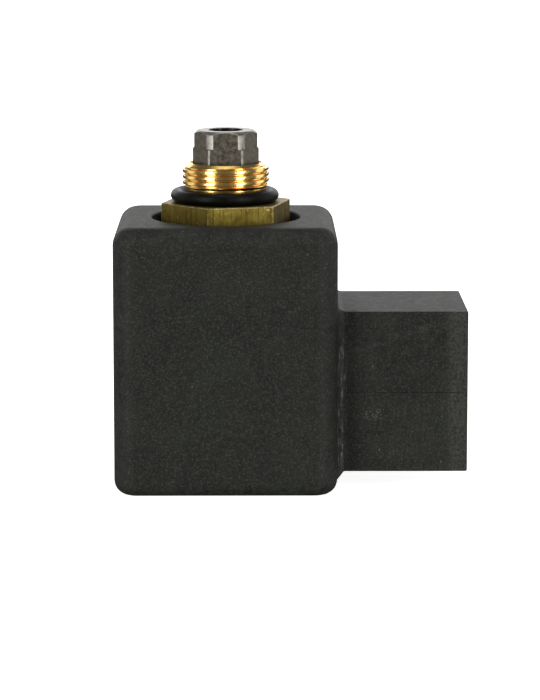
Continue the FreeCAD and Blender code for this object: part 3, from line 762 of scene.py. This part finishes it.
def add_shroud(part, seam_below):
    """One half of the connector's shroud: outer block less the socket."""
    node = f"connector_housing_{part}"
    start, front, base = (low(node, axis) for axis in range(3))
    mouth, back, top = (high(node, axis) for axis in range(3))
    at_seam = (SEAM_EDGE, SEAM_EDGE)
    outer = (SHROUD_EDGE, SHROUD_EDGE)
    radii = at_seam + outer if seam_below else outer + at_seam
    stations = [(start, 0.0)]
    stations += [(x, SHROUD_EDGE - r) for r, x in arc((0, mouth - SHROUD_EDGE), SHROUD_EDGE, 0, 90, 3)]
    rings = []
    for x, inset in stations:
        at_base = 0.0 if seam_below else inset
        at_top = inset if seam_below else 0.0
        smaller = [max(r - inset, SMALLEST_EDGE) for r in radii]
        ring = corner_ring((front + inset, base + at_base), (back - inset, top - at_top), smaller)
        rings.append([(x, y, z) for y, z in ring])
    socket_base = base - OVERCUT if seam_below else base + WALL
    socket_top = top - WALL if seam_below else top + OVERCUT
    socket = brick(
        "socket",
        (mouth - SOCKET_DEPTH, front + WALL, socket_base),
        (mouth + OVERCUT, back - WALL, socket_top),
    )
    mesh = combine(prism(f"connector_{part}", rings), socket, "DIFFERENCE")
    add_piece(f"connector_{part}", mesh, ["connector"], "coil", [node], 20)


# ---------------------------------------------------------------- brass union

AROUND = 144
# Hexagon: half its width over flats, its top, its edges and the turn of its first corner.
FLAT_HALF = 10.5
HEX_TOP = -3.0
HEX_EDGE = 0.12
CORNER_CUT = 0.04
CORNER_TURN = math.radians(-104.7)
# Neck, and the fillet at its root.
NECK_RADIUS = 7.25
ROOT_FILLET = 0.25
ROOT_MIDDLE = 0.07
# Thread: it grows to its full depth over RAMP, and FIRST_TURN starts it below the neck's top.
THREAD_PITCH = 1.06
THREAD_DEPTH = 0.6
THREAD_START = -0.42
RAMP = 0.5
FIRST_TURN = -2.5
CHAMFER_HEIGHT = 0.75
FACE_RING = 0.3
# One tooth as shares of the pitch and of the depth.
TOOTH = (
    (0.0, 0.0), (0.06, 0.02), (0.15, 0.70), (0.22, 0.93), (0.34, 1.0),
    (0.66, 1.0), (0.78, 0.93), (0.85, 0.70), (0.94, 0.02),
)


def add_union():
    """Hexagon, neck and right-hand thread in one mesh; the thread's rows follow its helix."""
    face = high("union_nut", 2)
    seat = low("union_nut", 2)
    bore = high("core_tube", 0)
    crest = NECK_RADIUS + THREAD_DEPTH
    end_radius = bore + FACE_RING
    chamfer_start = face - CHAMFER_HEIGHT

    def reach(level, share):
        """Radius of the thread where it would be a share of its full depth."""
        grown = min(1.0, max(0.0, (level - THREAD_START) / RAMP))
        radius = NECK_RADIUS + THREAD_DEPTH * share * grown
        slope = (crest - end_radius) / CHAMFER_HEIGHT
        limit = crest - max(0.0, level - chamfer_start) * slope
        return min(radius, limit)

    def fill(build):
        corner = FLAT_HALF / math.cos(math.radians(30))
        hexagon = [
            circle(bore, seat, AROUND),
            polygon_ring(FLAT_HALF - HEX_EDGE, corner, seat, AROUND, CORNER_TURN),
            polygon_ring(FLAT_HALF, corner - CORNER_CUT, seat + HEX_EDGE, AROUND, CORNER_TURN),
            polygon_ring(FLAT_HALF, corner - CORNER_CUT, HEX_TOP - HEX_EDGE, AROUND, CORNER_TURN),
            polygon_ring(FLAT_HALF - HEX_EDGE, corner, HEX_TOP, AROUND, CORNER_TURN),
        ]
        neck = [
            circle(NECK_RADIUS + ROOT_FILLET, HEX_TOP, AROUND),
            circle(NECK_RADIUS + ROOT_MIDDLE, HEX_TOP + ROOT_MIDDLE, AROUND),
            circle(NECK_RADIUS, HEX_TOP + ROOT_FILLET, AROUND),
            circle(NECK_RADIUS, THREAD_START, AROUND),
        ]
        materials = [0] * len(hexagon) + [1] * len(neck)
        rows = skin(build, hexagon + neck, close=False, materials=materials)
        end = [circle(end_radius, face, AROUND), circle(bore, face, AROUND)]
        end_rows = skin(build, end, close=False, materials=[1])
        bridge(build, end_rows[-1], rows[0], 1)
        spiral = []
        turns = math.ceil((face - THREAD_START) / THREAD_PITCH) + 2
        # Strips past either end of the thread are held at its level, where they merge with the rings.
        for i in range(turns):
            for place, share in TOOTH:
                strip = []
                for j in range(AROUND + 1):
                    level = THREAD_PITCH * (i + FIRST_TURN + place + j / AROUND)
                    angle = TURN * j / AROUND
                    level = min(max(level, THREAD_START), face)
                    radius = reach(level, share)
                    if level >= face:
                        radius = end_radius
                    point = Vector((radius * math.cos(angle), radius * math.sin(angle), level))
                    strip.append(build.verts.new(point * MM))
                spiral.append(strip)
        for i in range(len(spiral) - 1):
            for j in range(AROUND):
                corners = (spiral[i][j], spiral[i][j + 1], spiral[i + 1][j + 1], spiral[i + 1][j])
                build.faces.new(corners).material_index = 1

    mesh = build_mesh("union", fill)
    add_piece("union", mesh, ["brass_dull", "brass_bright"], "armature_tube",
              ["union_nut"], 22)


# ---------------------------------------------------------------- plunger, seals and nut

# Plunger: a bar with six flats, a narrower land at its top, and a hole at each end.
FLAT_DISTANCE = 5.3
BAR_RADIUS = 6.0
BAR_EDGE = 0.4
LAND_RADIUS = 5.75
LAND_LENGTH = 3.2
LAND_STEP = 0.1
END_CHAMFER = 0.6
SEAT_RADIUS = 3.1
SEAT_DEPTH = 4.5
SPRING_BORE = 3.2
SPRING_BORE_DEPTH = 12.0
BORE_EDGE = 0.2
# Return spring; a closed turn rises by CLOSED_PITCH wires.
WIRE = 0.6
SPRING_TURNS = 7
CLOSED_PITCH = 1.05
STEPS_PER_TURN = 28
WIRE_SIDES = 12
# Moulded rings.
FLASH = 0.02
# Retaining nut; NUT_SLOPE is the rise of its chamfer over its width.
NUT_FLAT = 7.5
NUT_HOLE = 5.0
NUT_SLOPE = 0.55


def hexagon_prism(name, flat, base, top):
    """Upright hexagon with its flats at a distance and a corner on +X."""
    reach = flat / math.cos(math.radians(30))
    rings = []
    for level in (base, top):
        ring = []
        for k in range(6):
            angle = TURN * k / 6
            ring.append((reach * math.cos(angle), reach * math.sin(angle), level))
        rings.append(ring)
    return prism(name, rings)


def mark_flats(mesh, flat):
    """Material 0 for faces on the hexagon's flats, 2 for the walls of the holes, which carry painted
    shade, 1 for the rest.
    """
    angles = [TURN * (k + 0.5) / 6 for k in range(6)]
    normals = [Vector((math.cos(a), math.sin(a), 0)) for a in angles]
    for face in mesh.polygons:
        centre = face.center / MM
        on_flat = any(
            abs(centre.dot(n) - flat) < 0.01 and face.normal.dot(n) > 0.99 for n in normals
        )
        in_bore = centre.xy.length < SPRING_BORE + 0.02 and face.normal.xy.dot(centre.xy) < 0
        face.material_index = 0 if on_flat else 2 if in_bore else 1


def add_plunger():
    """Plunger's bar and the sealing disc in its end."""
    top = high("plunger", 2)
    base = low("plunger", 2)
    outline = [
        (SPRING_BORE, base + SPRING_BORE_DEPTH),
        (SPRING_BORE, base + BORE_EDGE),
        (SPRING_BORE + BORE_EDGE, base),
        (BAR_RADIUS - BAR_EDGE, base),
        (BAR_RADIUS, base + BAR_EDGE),
        (BAR_RADIUS, top - LAND_LENGTH - LAND_STEP),
        (LAND_RADIUS, top - LAND_LENGTH + LAND_STEP),
        (LAND_RADIUS, top - END_CHAMFER),
        (LAND_RADIUS - END_CHAMFER + 0.08, top - 0.08),
        (LAND_RADIUS - END_CHAMFER - 0.06, top),
        (SEAT_RADIUS + 0.14, top),
        (SEAT_RADIUS + 0.03, top - 0.08),
        (SEAT_RADIUS, top - 0.2),
        (SEAT_RADIUS, top - SEAT_DEPTH),
    ]
    turned = lathe("plunger_bar", outline, 144, close=False)
    cutter = hexagon_prism("flats", FLAT_DISTANCE, base - 1, top + 1)
    mesh = combine(turned, cutter, "INTERSECT")
    mark_flats(mesh, FLAT_DISTANCE)
    steels = ["flat_steel", "turned_steel", "bore_steel_painted_shade"]
    add_piece("plunger_bar", mesh, steels, "plunger", ["plunger"], 12)
    seal_top = high("plunger_seal", 2)
    seal_base = low("plunger_seal", 2)
    face = [
        (0.05, seal_top - 0.12),
        (SEAT_RADIUS * 0.55, seal_top - 0.09),
        (SEAT_RADIUS - 0.45, seal_top - 0.01),
        (SEAT_RADIUS - 0.2, seal_top),
        (SEAT_RADIUS - 0.02, seal_top - 0.12),
        (SEAT_RADIUS - 0.02, seal_base + 0.1),
        (SEAT_RADIUS - 0.12, seal_base),
        (0.05, seal_base),
    ]
    disc = lathe("seat_seal", face, 96, close=False)
    add_piece("seat_seal", disc, ["rubber"], "plunger", ["plunger_seal"])


def add_seal(node, name, cord, aside=0.0, steps=32):
    """Moulded ring with a faint flash line at its widest."""
    outer = high(node, 0)
    middle = (high(node, 2) + low(node, 2)) / 2
    radius = cord / 2
    outline = []
    for k in range(steps):
        angle = TURN * k / steps
        flash = FLASH if k == 0 else 0.0
        reach = outer - radius + (radius - FLASH + flash) * math.cos(angle)
        outline.append((reach, middle + radius * math.sin(angle)))
    mesh = lathe(name, outline, 160)
    mesh.transform(Matrix.Translation((aside * MM, 0, 0)))
    add_piece(name, mesh, ["rubber"], "armature_tube", [node], 60)


def spring_level(turn, base, top):
    """Height of the spring's wire after so many turns; the first and last turns lie closed."""
    closed = WIRE * CLOSED_PITCH
    open_pitch = (top - base - 2 * closed) / (SPRING_TURNS - 2)
    first = min(turn, 1.0)
    last = max(0.0, turn - (SPRING_TURNS - 1))
    return base + closed * (first + last) + open_pitch * (turn - first - last)


def add_spring():
    """Return spring with closed ends."""
    base = low("return_spring", 2)
    top = high("return_spring", 2)
    radius = high("return_spring", 0) - WIRE / 2
    steps = STEPS_PER_TURN * SPRING_TURNS
    section = [TURN * j / WIRE_SIDES for j in range(WIRE_SIDES)]
    up = Vector((0, 0, 1))
    rings = []
    for k in range(steps + 1):
        turn = SPRING_TURNS * k / steps
        out = Vector((math.cos(TURN * turn), math.sin(TURN * turn), 0))
        level = spring_level(turn, base + WIRE / 2, top - WIRE / 2)
        centre = out * radius + up * level
        rings.append([centre + (out * math.cos(a) + up * math.sin(a)) * WIRE / 2 for a in section])
    wire = prism("spring", rings)
    steels = ["spring_steel"]
    spring = add_piece("spring", wire, steels, "armature_tube", ["return_spring"], 40)
    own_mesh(spring)


def add_nut():
    """Hexagon nut on the stud, chamfered at both ends."""
    base = low("retaining_nut", 2)
    top = high("retaining_nut", 2)
    corner = NUT_FLAT / math.cos(math.radians(30))
    rise = (corner - NUT_FLAT + 0.25) * NUT_SLOPE
    outline = [
        (NUT_HOLE + 0.02, base + 0.4),
        (NUT_HOLE + 0.42, base),
        (NUT_FLAT - 0.2, base),
        (corner + 0.05, base + rise),
        (corner + 0.05, top - rise),
        (NUT_FLAT - 0.2, top),
        (NUT_HOLE + 0.02, top),
    ]
    turned = lathe("nut", outline, 144)
    mesh = combine(turned, hexagon_prism("flats", NUT_FLAT, base - 1, top + 1), "INTERSECT")
    add_piece("nut", mesh, ["nut_steel"], "armature_tube", ["retaining_nut"], 15)


add_coil()
add_shroud("upper", seam_below=True)
add_shroud("lower", seam_below=False)
add_union()
add_plunger()
add_spring()
add_seal("flange_seal", "flange_ring", 2.3, aside=-0.2)
add_nut()

# ---------------------------------------------------------------- camera, light and stage

# Lens: the focal length and the shift of its axis, both as shares of the picture's height.
FOCAL = 4.12742857
SHIFT = -0.11428571
SENSOR = 36.0
# Where the camera stands above the floor, and its turns in radians.
EYE = Vector((4.58, -522.2, 116.2)) * MM
DOWNWARD = 0.1480
SIDEWAYS = -0.0066


def add_camera():
    """Long lens from the front, looking slightly down; the shift keeps uprights nearly parallel."""
    data = bpy.data.cameras.new("camera")
    camera = bpy.data.objects.new("camera", data)
    bpy.context.scene.collection.objects.link(camera)
    data.sensor_width = SENSOR
    data.lens = SENSOR * FOCAL
    data.shift_y = SHIFT
    data.clip_start = 0.01
    data.clip_end = 20
    turn = Matrix.Rotation(SIDEWAYS, 3, "Z") @ Matrix.Rotation(math.pi / 2 - DOWNWARD, 3, "X")
    camera.rotation_euler = turn.to_euler()
    camera.location = EYE + Vector((0, 0, CAD_BOX[0].z))
    bpy.context.scene.camera = camera


def add_softbox(name, azimuth, elevation, distance, size, power):
    """Area light that faces the object; azimuth 0 is where the camera stands."""
    data = bpy.data.lights.new(name, "AREA")
    data.shape = "RECTANGLE"
    data.size = size[0]
    data.size_y = size[1]
    data.energy = power
    light = bpy.data.objects.new(name, data)
    bpy.context.scene.collection.objects.link(light)
    turn = math.radians(azimuth)
    lift = math.radians(elevation)
    away = Vector((
        math.sin(turn) * math.cos(lift),
        -math.cos(turn) * math.cos(lift),
        math.sin(lift),
    ))
    light.location = away * distance
    light.rotation_euler = away.to_track_quat("Z", "Y").to_euler()
    light.visible_camera = False


def add_stage():
    """Pale glowing floor, a dim world and soft boxes in front, above and behind."""
    base = CAD_BOX[0].z
    mesh = bpy.data.meshes.new("floor")
    floor = bpy.data.objects.new("floor", mesh)
    bpy.context.scene.collection.objects.link(floor)
    build = bmesh.new()
    reach = 20.0
    corners = [(-reach, -reach), (reach, -reach), (reach, reach), (-reach, reach)]
    build.faces.new([build.verts.new((x, y, base)) for x, y in corners])
    build.to_mesh(mesh)
    build.free()
    s = Shade("floor", Roughness=0.9, Emission_Strength=0.9)
    pale = s.mix(s.noise(60.0), (0.88, 0.88, 0.88), (0.90, 0.90, 0.90))
    s.feed("Base Color", pale)
    s.feed("Emission Color", s.mix(s.noise(60.0), (0.99, 0.99, 0.99), (1.0, 1.0, 1.0)))
    mesh.materials.append(s.material)
    floor.visible_glossy = False
    floor.visible_diffuse = False
    floor.visible_shadow = False
    world = bpy.data.worlds.new("world")
    world.use_nodes = True
    sky = world.node_tree.nodes["Background"]
    sky.inputs["Color"].default_value = (1, 1, 1, 1)
    sky.inputs["Strength"].default_value = 0.10
    bpy.context.scene.world = world
    add_softbox("left_box", -43, 6, 0.9, (0.30, 1.4), 8.6)
    add_softbox("right_box", 41, 6, 0.9, (0.26, 1.4), 7.8)
    add_softbox("left_side", -108, 10, 0.9, (0.5, 1.2), 1.8)
    add_softbox("right_side", 105, 10, 0.9, (0.5, 1.2), 2.6)
    add_softbox("top_box", 0, 84, 0.9, (0.6, 0.6), 2.0)
    add_softbox("back_box", 180, 18, 1.2, (2.2, 0.7), 10.0)
    view = bpy.context.scene.view_settings
    view.view_transform = "Standard"


add_camera()
add_stage()
